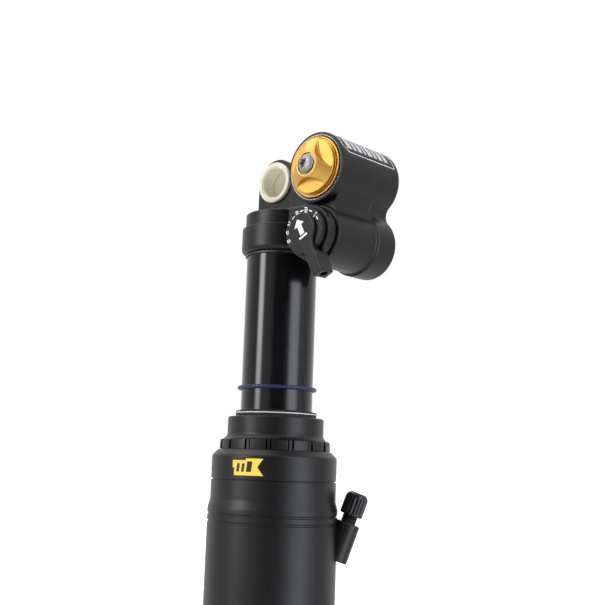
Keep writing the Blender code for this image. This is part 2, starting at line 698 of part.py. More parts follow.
# --- assembly -----------------------------------------------------------------------------------
def build():
    clear_scene()
    head_casting()
    bush("upper_bush_front", 0, -1)
    bush("upper_bush_rear", 0, 1)
    damper_tube()
    inner_tube()
    collar_ring()
    rod_guide()
    rod_seal()
    air_piston()
    air_piston_seal()
    reservoir_cap()
    cap_seal()
    button_bolt()
    compression_cartridge()

    piston_axis = carrier("floating_piston_slide", (POD_X, 0, RES_Z))
    hang(piston_axis, floating_piston(), floating_piston_seal())

    dial_axis = carrier("dial_axis", (POD_X, 0, LOBE_Z))
    hang(dial_axis, low_speed_wheel(), compression_lever(), lever_screw(), compression_needle())

    can_axis = carrier("air_can_slide", (0, 0, -EYE_TO_EYE))
    hang(can_axis, seal_head(), wiper_seal(), wiper_ring(), neck_seal(), neck_bushing(), can_upper(), can_lower())
    hang(can_axis, seam_ring(), base_seal(), can_base(), piston_rod(), main_piston(), piston_band())
    hang(can_axis, piston_nut(), top_out_bumper(), bottom_out_bumper(), rebound_needle(), rebound_knob())
    hang(can_axis, bush("lower_bush_front", -EYE_TO_EYE, -1), bush("lower_bush_rear", -EYE_TO_EYE, 1))
    hang(can_axis, valve_stem(), valve_core(), valve_cap())

    ring_axis = carrier("travel_ring_slide", (0, 0, RING_Z))
    hang(ring_axis, travel_ring())


build()
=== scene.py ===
"""Looks for the rear shock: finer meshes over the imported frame, materials, light and camera."""

import math

import bmesh
import bpy
from mathutils import Matrix, Vector

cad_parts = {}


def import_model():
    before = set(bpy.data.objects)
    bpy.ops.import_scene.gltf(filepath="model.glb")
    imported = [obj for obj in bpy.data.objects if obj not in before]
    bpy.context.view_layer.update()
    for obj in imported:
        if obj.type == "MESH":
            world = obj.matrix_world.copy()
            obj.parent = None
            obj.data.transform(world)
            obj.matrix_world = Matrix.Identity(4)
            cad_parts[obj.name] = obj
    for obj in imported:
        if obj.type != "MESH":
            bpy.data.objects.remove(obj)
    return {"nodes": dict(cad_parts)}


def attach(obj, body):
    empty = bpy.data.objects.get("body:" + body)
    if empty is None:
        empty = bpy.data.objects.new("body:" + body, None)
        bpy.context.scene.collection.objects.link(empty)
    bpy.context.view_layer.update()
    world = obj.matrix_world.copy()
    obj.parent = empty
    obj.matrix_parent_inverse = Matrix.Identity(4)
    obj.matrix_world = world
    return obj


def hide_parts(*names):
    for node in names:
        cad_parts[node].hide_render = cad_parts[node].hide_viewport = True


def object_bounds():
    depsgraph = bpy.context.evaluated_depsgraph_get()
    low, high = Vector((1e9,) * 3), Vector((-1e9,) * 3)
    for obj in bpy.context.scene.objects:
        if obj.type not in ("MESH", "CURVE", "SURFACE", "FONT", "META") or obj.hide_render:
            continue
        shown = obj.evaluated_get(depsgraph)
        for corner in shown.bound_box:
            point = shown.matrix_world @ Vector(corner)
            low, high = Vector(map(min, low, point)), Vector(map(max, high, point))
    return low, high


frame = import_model()
CAD_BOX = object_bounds()
NODES = frame["nodes"]

# --- dimensions shared with the CAD, in metres -----------------------------------------------------
MM = 0.001
POD_X = 40.4 * MM
RES_Z = -2.2 * MM
RES_R = 17.4 * MM
LOBE_Z = -34.6 * MM
RES_REAR = 23.0 * MM
EYE_R = 12.5 * MM
LUG_HALF = 6.5 * MM
EYE_BORE_R = 9.5 * MM
LOWER_EYE_Z = -250 * MM
CAN_R = 31.1 * MM
VALVE_AZIMUTH = math.radians(42.6)
VALVE_LEAN = math.radians(19.0)
LEVER_ANGLE = math.radians(-62.8)
VALVE_RADIAL, VALVE_FOOT_Z = 38.8 * MM, -167.2 * MM
DIAL_FACE = -28.3 * MM
PAD_FACE = -30.3 * MM
KNOB_X, KNOB_Z = 21.2 * MM, -238.9 * MM

UP = Matrix.Identity(4)


def along_y(x, z):
    """Frame whose height runs along +Y, for pieces turned about an axis at (x, z)."""
    return Matrix.Translation((x, 0, z)) @ Matrix(((1, 0, 0, 0), (0, 0, 1, 0), (0, 1, 0, 0), (0, 0, 0, 1)))


def valve_axis():
    outward = Vector((math.cos(VALVE_AZIMUTH), math.sin(VALVE_AZIMUTH), 0))
    tilt = outward * math.sin(VALVE_LEAN) + Vector((0, 0, math.cos(VALVE_LEAN)))
    foot = outward * VALVE_RADIAL + Vector((0, 0, VALVE_FOOT_Z))
    return Matrix.Translation(foot) @ Vector((0, 0, 1)).rotation_difference(tilt).to_matrix().to_4x4()


RESERVOIR = along_y(POD_X, RES_Z)
LOBE = along_y(POD_X, LOBE_Z)
VALVE = valve_axis()


# --- node materials --------------------------------------------------------------------------------
class Look:
    """One procedural material: a Principled shader and the nodes that feed it."""

    def __init__(self, name, **numbers):
        self.made = bpy.data.materials.new(name)
        self.made.use_nodes = True
        self.tree = self.made.node_tree
        self.shader = self.tree.nodes["Principled BSDF"]
        for socket, value in numbers.items():
            self.shader.inputs[socket.replace("_", " ")].default_value = value
        self.place = self.node("ShaderNodeTexCoord").outputs["Object"]

    def node(self, kind, **settings):
        made = self.tree.nodes.new(kind)
        for key, value in settings.items():
            setattr(made, key, value)
        return made

    def link(self, source, target):
        self.tree.links.new(source, target)

    def noise(self, scale, detail=3.0, rough=0.5, stretch=(1, 1, 1), vector=None):
        mapping = self.node("ShaderNodeMapping")
        mapping.inputs["Scale"].default_value = stretch
        self.link(vector or self.place, mapping.inputs["Vector"])
        noise = self.node("ShaderNodeTexNoise")
        noise.inputs["Scale"].default_value = scale
        noise.inputs["Detail"].default_value = detail
        noise.inputs["Roughness"].default_value = rough
        self.link(mapping.outputs["Vector"], noise.inputs["Vector"])
        return noise.outputs["Fac"]

    def polar(self, x, z, axis="Y"):
        """Vector (radius, 0, height) about an axis, so that turning marks run round it."""
        shift = self.node("ShaderNodeVectorMath", operation="SUBTRACT")
        self.link(self.place, shift.inputs[0])
        shift.inputs[1].default_value = (x, 0, z)
        split = self.node("ShaderNodeSeparateXYZ")
        self.link(shift.outputs[0], split.inputs[0])
        flat = self.node("ShaderNodeCombineXYZ")
        self.link(split.outputs["X"], flat.inputs["X"])
        self.link(split.outputs["Z" if axis == "Y" else "Y"], flat.inputs["Y"])
        size = self.node("ShaderNodeVectorMath", operation="LENGTH")
        self.link(flat.outputs[0], size.inputs[0])
        out = self.node("ShaderNodeCombineXYZ")
        self.link(size.outputs["Value"], out.inputs["X"])
        self.link(split.outputs["Y" if axis == "Y" else "Z"], out.inputs["Z"])
        return out.outputs[0]

    def ramp(self, source, *stops):
        ramp = self.node("ShaderNodeValToRGB")
        places = ramp.color_ramp.elements
        while len(places) < len(stops):
            places.new(0.5)
        for spot, (position, colour) in zip(places, stops):
            spot.position = position
            spot.color = (*colour, 1.0)
        self.link(source, ramp.inputs["Fac"])
        return ramp.outputs["Color"]

    def scaled(self, source, low, high):
        span = self.node("ShaderNodeMapRange")
        span.inputs["From Min"].default_value = 0.3
        span.inputs["From Max"].default_value = 0.7
        span.inputs["To Min"].default_value = low
        span.inputs["To Max"].default_value = high
        self.link(source, span.inputs["Value"])
        return span.outputs["Result"]

    def colour(self, source, *stops):
        self.link(self.ramp(source, *stops), self.shader.inputs["Base Color"])
        return self

    def rough(self, source, low, high):
        self.link(self.scaled(source, low, high), self.shader.inputs["Roughness"])
        return self

    def bump(self, *layers):
        """Each layer is (height source, strength, depth in metres)."""
        normal = None
        for source, strength, depth in layers:
            bump = self.node("ShaderNodeBump")
            bump.inputs["Strength"].default_value = strength
            bump.inputs["Distance"].default_value = depth
            self.link(source, bump.inputs["Height"])
            if normal:
                self.link(normal, bump.inputs["Normal"])
            normal = bump.outputs["Normal"]
        self.link(normal, self.shader.inputs["Normal"])
        return self


def anodised(name, dark, light, low, high, grain=0.22):
    """Bead-blasted black anodising: fine grain, faint cloudiness."""
    look = Look(name, Metallic=0.0, Specular_IOR_Level=0.42)
    cloud = look.noise(140, 4)
    fine = look.noise(5200, 2, 0.6)
    look.colour(cloud, (0.30, dark), (0.72, light))
    look.rough(look.noise(900, 3), low, high)
    return look.bump((fine, grain, 0.03 * MM), (cloud, 0.05, 0.05 * MM)).made


def turned_metal(name, dark, light, low, high, axis=None, metallic=1.0, lines=2600):
    """Machined metal with fine turning marks round an axis."""
    look = Look(name, Metallic=metallic)
    where = look.polar(*axis) if axis else look.place
    marks = look.noise(lines, 2, 0.6, vector=where)
    cloud = look.noise(300, 3)
    look.colour(cloud, (0.28, dark), (0.72, light))
    look.rough(marks, low, high)
    return look.bump((marks, 0.02, 0.01 * MM), (look.noise(7000, 1), 0.03, 0.01 * MM)).made


def gloss_coat():
    """Polished hard coating of the sliding tube, with hairlines from its strokes."""
    look = Look("tube_gloss", Metallic=0.0, Specular_IOR_Level=0.5)
    hairs = look.noise(1, 3, 0.6, stretch=(2600, 2600, 60))
    rings = look.noise(1, 2, 0.5, stretch=(40, 40, 3000))
    look.colour(look.noise(90, 3), (0.3, (0.0018, 0.0020, 0.0026)), (0.7, (0.0030, 0.0032, 0.0040)))
    look.rough(hairs, 0.11, 0.16)
    return look.bump((rings, 0.03, 0.01 * MM), (hairs, 0.02, 0.01 * MM)).made


def rubber_look(name, dark, light, rough=(0.55, 0.72)):
    look = Look(name, Metallic=0.0, Specular_IOR_Level=0.4)
    fine = look.noise(2600, 3, 0.6)
    look.colour(look.noise(220, 3), (0.3, dark), (0.7, light))
    look.rough(fine, *rough)
    return look.bump((fine, 0.15, 0.03 * MM)).made


def polymer_look():
    """Cream bearing polymer: slightly mottled, waxy, with a fine grain over its surface."""
    look = Look("bush_polymer", Metallic=0.0, Specular_IOR_Level=0.5, Subsurface_Weight=0.12,
                Subsurface_Scale=0.0015)
    cloud = look.noise(260, 4)
    fine = look.noise(3200, 2)
    look.colour(cloud, (0.28, (0.64, 0.60, 0.46)), (0.70, (0.74, 0.70, 0.57)))
    look.rough(fine, 0.30, 0.42)
    return look.bump((fine, 0.10, 0.02 * MM), (cloud, 0.06, 0.04 * MM)).made


def plastic_look():
    look = Look("cap_plastic", Metallic=0.0, Specular_IOR_Level=0.5)
    fine = look.noise(3800, 2)
    look.colour(look.noise(240, 3), (0.3, (0.0030, 0.0032, 0.0042)), (0.7, (0.0055, 0.0058, 0.0070)))
    look.rough(fine, 0.20, 0.28)
    return look.bump((fine, 0.10, 0.02 * MM)).made


def paint_look(name, dark, light, rough=(0.42, 0.55)):
    """Printed or laser-etched mark: slightly uneven cover over the grain below it."""
    look = Look(name, Metallic=0.0, Specular_IOR_Level=0.4)
    cover = look.noise(1900, 4, 0.65)
    look.colour(cover, (0.30, dark), (0.62, light))
    look.rough(cover, *rough)
    return look.bump((cover, 0.08, 0.01 * MM)).made


BLACK = anodised("black_anodised", (0.0024, 0.0025, 0.0029), (0.0042, 0.0043, 0.0049), 0.37, 0.43, 0.12)
BLACK_MACHINED = anodised("black_machined", (0.0032, 0.0033, 0.0037), (0.0052, 0.0053, 0.0060), 0.31, 0.37, 0.05)
GLOSS = gloss_coat()
GOLD = turned_metal("gold_anodised", (0.70, 0.41, 0.092), (0.78, 0.47, 0.118), 0.40, 0.48, (POD_X, RES_Z))
KNOB_GOLD = turned_metal("gold_knob", (0.78, 0.44, 0.085), (0.88, 0.53, 0.125), 0.24, 0.34)
STEEL = turned_metal("bright_steel", (0.34, 0.335, 0.33), (0.42, 0.415, 0.41), 0.46, 0.54, (POD_X, RES_Z))
SILVER = turned_metal("plain_steel", (0.50, 0.51, 0.53), (0.64, 0.65, 0.67), 0.20, 0.32)
# Pale satin: the wiper ring's own colour, and a painted highlight on the reservoir mouth's inner chamfer.
SATIN_AND_PAINTED_HIGHLIGHT = turned_metal("satin_ring_and_painted_highlight", (0.64, 0.625, 0.57), (0.74, 0.725, 0.67), 0.48, 0.58, metallic=0.3)
DARK_STEEL = turned_metal("dark_steel", (0.060, 0.061, 0.065), (0.110, 0.112, 0.118), 0.34, 0.46, metallic=0.9)
INNER_METAL = turned_metal("inner_alloy", (0.14, 0.14, 0.15), (0.20, 0.20, 0.21), 0.30, 0.42, (0, 0, "Z"), 0.9)
BRONZE = turned_metal("bronze_liner", (0.30, 0.20, 0.10), (0.40, 0.29, 0.15), 0.38, 0.52, metallic=0.8)
RUBBER = rubber_look("seal_rubber", (0.008, 0.008, 0.009), (0.016, 0.016, 0.017))
BLUE = rubber_look("marker_rubber", (0.0045, 0.010, 0.058), (0.008, 0.017, 0.085), (0.36, 0.48))
CREAM = polymer_look()
PLASTIC = plastic_look()
WHITE = paint_look("white_mark", (0.74, 0.74, 0.74), (0.93, 0.93, 0.93))
GREY = paint_look("grey_mark", (0.40, 0.40, 0.41), (0.62, 0.62, 0.63))
YELLOW = paint_look("yellow_mark", (0.70, 0.47, 0.045), (0.84, 0.60, 0.075))
INK = paint_look("dark_mark", (0.006, 0.006, 0.007), (0.012, 0.012, 0.013), (0.34, 0.46))


# --- mesh building ---------------------------------------------------------------------------------
def circle(x, y, radius, start, stop, steps):
    """Points on an arc, both ends included, angles in degrees."""
    turn = [math.radians(start + (stop - start) * i / steps) for i in range(steps + 1)]
    return [(x + radius * math.cos(a), y + radius * math.sin(a)) for a in turn]


def rounded(corners, steps=4, closed=True):
    """Profile in mm from (radius, height, fillet) corners, in metres, with each fillet drawn as an arc."""
    out = []
    last = len(corners) - 1
    for i, corner in enumerate(corners):
        here = Vector(corner[:2]) * MM
        fillet = corner[2] * MM if len(corner) > 2 else 0
        if not fillet or (not closed and i in (0, last)):
            out.append(tuple(here))
            continue
        before = Vector(corners[i - 1][:2]) * MM - here
        after = Vector(corners[(i + 1) % len(corners)][:2]) * MM - here
        half = before.angle(after) / 2
        reach = min(fillet / math.tan(half), 0.49 * before.length, 0.49 * after.length)
        inward = (before.normalized() + after.normalized()).normalized()
        centre = here + inward * (reach / math.cos(half))
        first = here + before.normalized() * reach - centre
        final = here + after.normalized() * reach - centre
        begin = math.atan2(first.y, first.x)
        sweep = (math.atan2(final.y, final.x) - begin + math.pi) % (2 * math.pi) - math.pi
        for k in range(steps + 1):
            a = begin + sweep * k / steps
            out.append((centre.x + first.length * math.cos(a), centre.y + first.length * math.sin(a)))
    return out


def bridge_rings(data, rings, closed):
    faces = []
    pairs = list(zip(rings, rings[1:] + rings[:1])) if closed else list(zip(rings, rings[1:]))
    for low, high in pairs:
        if len(low) == 1 and len(high) == 1:
            continue
        strip = []
        for i in range(max(len(low), len(high))):
            j = (i + 1) % max(len(low), len(high))
            loop = [low[i % len(low)], low[j % len(low)], high[j % len(high)], high[i % len(high)]]
            strip.append(data.faces.new(list(dict.fromkeys(loop))))
        faces.append(strip)
    return faces


def lathe(profile, turns=96, shape=None, angles=None):
    """Turned solid; a radius of 0 closes on the axis. shape(angle, radius, height) may change a radius."""
    data = bmesh.new()
    angles = angles or [2 * math.pi * i / turns for i in range(turns)]
    rings = []
    for radius, height in profile:
        if radius < 1e-9:
            rings.append([data.verts.new((0, 0, height))])
            continue
        ring = []
        for a in angles:
            r = shape(a, radius, height) if shape else radius
            ring.append(data.verts.new((r * math.cos(a), r * math.sin(a), height)))
        rings.append(ring)
    bridge_rings(data, rings, True)
    return data


def prism(outline, levels):
    """Outline in the frame's own X and Y drawn through (height, inset) levels, then closed at both ends."""
    data = bmesh.new()
    points = [Vector(p) for p in outline]
    count = len(points)
    area = sum(points[i - 1].cross(points[i]) for i in range(count))
    normals = []
    for i, here in enumerate(points):
        along = (here - points[i - 1]).normalized() + (points[(i + 1) % count] - here).normalized()
        side = Vector((along.y, -along.x)).normalized()
        normals.append(side if area > 0 else -side)
    rings = [[data.verts.new((p.x - n.x * inset, p.y - n.y * inset, height)) for p, n in zip(points, normals)]
             for height, inset in levels]
    bridge_rings(data, rings, False)
    data.faces.new(rings[0])
    data.faces.new(rings[-1])
    return data


def solid(name, data, place=UP):
    bmesh.ops.transform(data, matrix=place, verts=data.verts)
    bmesh.ops.remove_doubles(data, verts=data.verts, dist=2e-7)
    bmesh.ops.recalc_face_normals(data, faces=data.faces)
    mesh = bpy.data.meshes.new(name)
    data.to_mesh(mesh)
    data.free()
    made = bpy.data.objects.new(name, mesh)
    bpy.context.scene.collection.objects.link(made)
    return made


def baked(thing):
    """Applies the modifiers of a piece to its mesh."""
    graph = bpy.context.evaluated_depsgraph_get()
    mesh = bpy.data.meshes.new_from_object(thing.evaluated_get(graph))
    thing.modifiers.clear()
    thing.data = mesh
    return thing


def combined(thing, tools, operation):
    for tool in tools:
        step = thing.modifiers.new(tool.name, "BOOLEAN")
        step.operation, step.solver, step.object = operation, "EXACT", tool
    baked(thing)
    for tool in tools:
        bpy.data.objects.remove(tool, do_unlink=True)
    return thing


def softened(thing, width, segments=2, angle=32):
    step = thing.modifiers.new("edges", "BEVEL")
    step.width, step.segments, step.limit_method = width, segments, "ANGLE"
    step.angle_limit = math.radians(angle)
    step.use_clamp_overlap = True
    step.miter_outer = "MITER_ARC"
    return baked(thing)


def dressed(thing, look, body, slot, *nodes, sharp=34):
    """Gives a piece its material, shading, body and the CAD nodes it stands for; its slot argument is not used."""
    if not thing.data.materials:
        thing.data.materials.append(look)
    else:
        thing.data.materials[0] = look
    thing.data.shade_smooth()
    thing.data.set_sharp_from_angle(angle=math.radians(sharp))
    weigh = thing.modifiers.new("normals", "WEIGHTED_NORMAL")
    weigh.keep_sharp = True
    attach(thing, body)
    if nodes:
        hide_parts(*nodes)
    return thing


def turned(name, corners, look, body, slot, *nodes, place=UP, turns=96, steps=4, closed=True, shape=None,
           angles=None, sharp=34):
    data = lathe(rounded(corners, steps, closed), turns, shape, angles)
    return dressed(solid(name, data, place), look, body, slot, *nodes, sharp=sharp)


# --- head: pod, lug and collar ---------------------------------------------------------------------
FREE_TOP = -44.0                 # the two cross-sections share the reservoir's arc down to here
FREE_LOBE = 20.0


def waist(lobe_r, fillet):
    """Centre of the hollow arc beside the web, and the two angles where it touches the cylinders."""
    span = RES_Z - LOBE_Z
    up, down = RES_R + fillet, lobe_r + fillet
    rise = (down ** 2 - up ** 2 + span ** 2) / (2 * span)
    out = math.sqrt(down ** 2 - rise ** 2)
    return out, rise, math.degrees(math.atan2(rise - span, out)), math.degrees(math.atan2(rise, out))


def pod_half(lobe_r, fillet):
    """Right half of the cross-section from the top down, with the indices of the two tangent points."""
    out, rise, top, low = waist(lobe_r, fillet)
    half = circle(0, RES_Z, RES_R, 90, FREE_TOP, 50)
    half += circle(0, RES_Z, RES_R, FREE_TOP, top, 2)[1:]
    at_top = len(half) - 1
    half += circle(out, LOBE_Z + rise, fillet, top + 180, low + 180, 22)[1:]
    at_low = len(half) - 1
    half += circle(0, LOBE_Z, lobe_r, low, FREE_LOBE, 8)[1:]
    half += circle(0, LOBE_Z, lobe_r, FREE_LOBE, -90, 40)[1:]
    return half, at_top, at_low


def pod_section(lobe_r, fillet):
    half, _, _ = pod_half(lobe_r, fillet)
    return [Vector(p) for p in half + [(-x, z) for x, z in reversed(half[1:-1])]]


def inset_by(section, distance):
    moved = []
    for i, here in enumerate(section):
        along = (section[(i + 1) % len(section)] - section[i - 1]).normalized()
        moved.append(here + Vector((along.y, -along.x)) * distance)
    return moved


def pod():
    """The two cylinders and their web as one closed mesh, with the reservoir's bore and the adjuster's well."""
    data = bmesh.new()
    front, mid = pod_section(14.33 * MM, 8.0 * MM), pod_section(14.9 * MM, 8.0 * MM)
    rear = pod_section(16.0 * MM, 5.5 * MM)
    step_y, step_long, tail_round = 7.4 * MM, 2.1 * MM, 1.7 * MM
    levels = [(-17.0 * MM, front), (step_y, mid)]
    for k in range(1, 9):
        t = k / 8
        blend = t * t * (3 - 2 * t)
        levels.append((step_y + step_long * t, [m + (r - m) * blend for m, r in zip(mid, rear)]))
    for k in range(7):
        a = math.pi / 2 * k / 6
        levels.append((RES_REAR - tail_round * (1 - math.sin(a)), inset_by(rear, tail_round * (1 - math.cos(a)))))
    rings = [[data.verts.new((p.x, y, p.y)) for p in section] for y, section in levels]
    bridge_rings(data, rings, False)
    data.faces.new(rings[-1])

    _, at_top, at_low = pod_half(14.33 * MM, 8.0 * MM)
    first, count = rings[0], len(rings[0])
    out, rise, top, low = waist(14.33 * MM, 8.0 * MM)
    under = [data.verts.new((x, -17.0 * MM, z)) for x, z in circle(0, RES_Z, RES_R, top, -180 - top, 32)[1:-1]]
    over = [data.verts.new((x, -17.0 * MM, z)) for x, z in circle(0, LOBE_Z, 14.33 * MM, 180 - low, low, 36)[1:-1]]
    right = first[at_top:at_low + 1]
    left = [first[(count - i) % count] for i in range(at_low, at_top - 1, -1)]
    data.faces.new(right + list(reversed(over)) + left + list(reversed(under)))

    nose = [first[(count - i) % count] for i in range(at_top, 0, -1)] + first[:at_top + 1] + under
    foot = first[at_low:count - at_low + 1] + over
    painted_highlight_faces = close_mouth(data, nose, RES_Z, [
        (17.4, -17.0), (17.4, -21.4, 0.9), (16.1, -21.4, 0.05), (15.7, -21.1), (15.6, -20.8), (15.6, -19.9),
        (15.02, -19.9), (15.02, 20.5), (0, 20.5)])
    close_mouth(data, foot, LOBE_Z, [
        (14.33, -17.0), (14.30, -19.3, 1.0), (10.9, -19.3, 0.1), (10.5, -18.9), (10.5, 20.0), (0, 20.0)])
    # The mouth's thin inner chamfer takes the pale second material: a painted highlight along the rim's edge.
    for face in painted_highlight_faces:
        face.material_index = 1
    return data


def close_mouth(data, ring, centre_z, corners):
    """Carries a circular rim forward, round its nose and back down its bore. Returns the faces of the thin chamfer at
    the mouth's inner edge, which take a pale material as a painted highlight.
    """
    profile = rounded(corners, 5, False)
    angles = [math.atan2(v.co.z - centre_z, v.co.x) for v in ring]
    rings = [ring]
    for radius, y in profile[1:]:
        if radius < 1e-9:
            rings.append([data.verts.new((0, y, centre_z))])
        else:
            rings.append([data.verts.new((radius * math.cos(a), y, centre_z + radius * math.sin(a))) for a in angles])
    strips = bridge_rings(data, rings, False)
    painted_highlight_faces = []
    for strip, (r0, y0), (r1, y1) in zip(strips, profile, profile[1:]):
        # Thin steps narrowing inward near the front are the chamfer that carries the painted highlight.
        if r0 > r1 and 0.2 * MM < y1 - y0 < 0.6 * MM:
            painted_highlight_faces += strip
    return painted_highlight_faces


def lug(centre, sign, foot, half=LUG_HALF, edge=0.5 * MM):
    """Rounded end round an eye; sign +1 points it up."""
    start, stop = (0, 180) if sign > 0 else (180, 360)
    outline = [(EYE_R * sign, foot)] + circle(0, centre, EYE_R, start, stop, 64) + [(-EYE_R * sign, foot)]
    levels = [(-half, edge), (-half + 0.3 * edge, 0.3 * edge), (-half + edge, 0), (half - edge, 0),
              (half - 0.3 * edge, 0.3 * edge), (half, edge)]
    return prism(outline, levels)


def box(low, high, edge, name):
    """Block with rounded edges, corners given in mm."""
    data = bmesh.new()
    bmesh.ops.create_cube(data, size=1.0)
    size = Matrix.Diagonal([(h - l) * MM for l, h in zip(low, high)] + [1])
    middle = Matrix.Translation([(h + l) / 2 * MM for l, h in zip(low, high)])
    made = solid(name, data, middle @ size)
    return softened(made, edge * MM, 4)


def hole(name, radius, low, high, place=UP, turns=96):
    return solid(name, lathe([(0, low), (radius, low), (radius, high), (0, high)], turns), place)


def head():
    body = solid("head_casting_visual", pod(), Matrix.Translation((POD_X, 0, 0)))
    body.data.materials.append(BLACK)
    # Second material: pale satin on the reservoir mouth's inner chamfer, a painted highlight.
    body.data.materials.append(SATIN_AND_PAINTED_HIGHLIGHT)
    collar = rounded([
        (0, -37.9), (20.9, -37.9, 2.6), (20.9, -24.4, 0.9), (19.3, -24.3, 0.25), (19.3, -17.0, 0.7), (0, -17.0),
    ], 6, False)
    parts = [
        solid("collar_form", lathe(collar, 128)),
        solid("lug_form", lug(0, 1, -18.5 * MM), along_y(0, 0)),
        box((4.0, -6.2, -20.0), (30.0, 6.2, 4.0), 1.6, "upper_bridge"),
        box((9.0, -12.0, -35.7), (34.0, 12.0, -15.5), 2.6, "lower_bridge"),
    ]
    combined(body, parts, "UNION")
    socket = [(0, -60), (18.3, -60), (18.3, -30.0), (15.5, -30.0), (15.5, -21.5), (0, -21.5)]
    cuts = [
        hole("eye_bore", EYE_BORE_R, -20 * MM, 20 * MM, along_y(0, 0)),
        solid("tube_socket", lathe([(r * MM, h * MM) for r, h in socket], 128)),
        hole("reservoir_room", 14.95 * MM, -25.0 * MM, 20.4 * MM, along_y(POD_X, RES_Z)),
        hole("adjuster_room", 10.45 * MM, -25.0 * MM, 19.9 * MM, along_y(POD_X, LOBE_Z)),
    ]
    combined(body, cuts, "DIFFERENCE")
    return dressed(body, BLACK, "head", "black_alloy", "head_casting")


head()


def bush(name, centre, side, body, node):
    corners = [
        (7.67, side * 0.6), (8.2, side * 0.15), (9.2, side * 0.15), (9.2, side * 6.8), (10.6, side * 6.8, 0.15),
        (10.6, side * 8.63, 0.55), (8.6, side * 8.63, 0.25), (7.67, side * 7.6, 0.2),
    ]
    return turned(name, corners, CREAM, body, "cream_polymer", node, place=along_y(0, centre), steps=5)


bush("eye_bush_front", 0, -1, "head", "upper_bush_front")
bush("eye_bush_rear", 0, 1, "head", "upper_bush_rear")
bush("foot_bush_front", LOWER_EYE_Z, -1, "air_can", "lower_bush_front")
bush("foot_bush_rear", LOWER_EYE_Z, 1, "air_can", "lower_bush_rear")

turned("tube_visual", [(16.4, -147.8), (18.0, -147.8, 0.4), (18.0, -30.3), (16.4, -30.3)], GLOSS, "head",
       "gloss_black_tube", "damper_tube", turns=144)
turned("collar_ring_visual", [(18.15, -39.1), (18.9, -39.1, 0.15), (19.0, -38.2, 0.15), (18.15, -38.2)], DARK_STEEL,
       "head", "dark_metal", "collar_ring", turns=128)


# --- gold reservoir cap and its bolt ---------------------------------------------------------------
def cap():
    corners = [
        (2.7, -27.5), (5.25, -27.5, 0.1), (5.35, -28.3, 0.12), (6.2, -28.3, 0.35), (13.4, -24.0, 0.3),
        (13.4, -23.3, 0.15), (12.4, -23.1), (12.4, -22.6), (13.6, -22.4, 0.15), (13.6, -21.2), (14.2, -21.2),
        (14.2, -21.9, 0.15), (14.9, -21.9, 0.2), (14.9, -20.2),
        (14.6, -20.2), (14.6, -18.0), (13.1, -18.0), (13.1, -15.8), (14.6, -15.8), (14.6, -14.2),
        (11.5, -14.2), (11.5, -20.8), (2.7, -20.8),
    ]
    body = solid("reservoir_cap_visual", lathe(rounded(corners, 3), 192), RESERVOIR)
    cuts = []
    for index, turn in enumerate((30, 150, 270)):
        x = POD_X + 22.9 * MM * math.cos(math.radians(turn))
        z = RES_Z + 22.9 * MM * math.sin(math.radians(turn))
        floor = rounded([(0, -34), (16.3, -34), (16.1, -24.3, 0.9), (0, -23.85)], 5, False)
        cuts.append(solid("scoop_%d" % index, lathe(floor, 160), along_y(x, z)))
    combined(body, cuts, "DIFFERENCE")
    return dressed(body, GOLD, "head", "gold_alloy", "reservoir_cap", sharp=32)


cap()


def star(inner, swing, steps=72):
    """Six-lobed outline, radii in mm."""
    turn = [2 * math.pi * i / steps for i in range(steps)]
    reach = [(inner + swing * math.cos(6 * a) + 0.12 * swing * math.cos(12 * a)) * MM for a in turn]
    return [(r * math.cos(a), r * math.sin(a)) for r, a in zip(reach, turn)]


def cap_bolt():
    seat, top = -27.8, -30.0
    brim, squash = seat - 0.55, 0.38
    dome = [(r / MM, h / MM) for r, h in circle(0, brim * MM, 4.55 * MM, 0, -64, 10)]
    head_profile = [(r, brim - (brim - h) * squash) for r, h in dome]
    crown = head_profile[-1][1]
    shank = [(0, -16.5), (2.4, -16.5), (2.4, -27.55), (5.2, -27.55), (5.2, -27.75), (4.1, -27.8)]
    corners = shank + [(4.35, seat - 0.1, 0.1)] + head_profile + [(0, crown)]
    body = solid("cap_bolt_visual", lathe([(r * MM, h * MM) for r, h in rounded_mm(corners)], 96), RESERVOIR)
    star_tool = prism(star(2.12, 0.38), [(crown * MM - 1 * MM, 0), (top * MM + 1.9 * MM, 0)])
    combined(body, [solid("bolt_socket", star_tool, RESERVOIR)], "DIFFERENCE")
    softened(body, 0.07 * MM, 2, 50)
    return dressed(body, STEEL, "head", "bright_steel", "cap_bolt")


def rounded_mm(corners):
    return [(r / MM, h / MM) for r, h in rounded(corners, 3, False)]


cap_bolt()


# --- adjuster: wheel, lever and its marks ----------------------------------------------------------
def wheel():
    def fluted(a, r, _):
        depth = 0.14 * MM * max(0.0, math.cos(12 * a)) ** 2
        return r - depth if r > 12.0 * MM else r

    corners = [
        (3.4, -8.0), (5.1, -8.0), (5.1, -19.7), (12.9, -19.7, 0.4), (12.9, -24.9, 0.5), (9.6, -24.9, 0.2),
        (9.4, -24.5, 0.1), (3.4, -24.5),
    ]
    return turned("low_speed_wheel_visual", corners, BLACK_MACHINED, "dial_wheel", "black_alloy",
                  "low_speed_wheel", place=LOBE, turns=288, shape=fluted)


def rotated(points, angle):
    c, s = math.cos(angle), math.sin(angle)
    return [(x * c - z * s, x * s + z * c) for x, z in points]


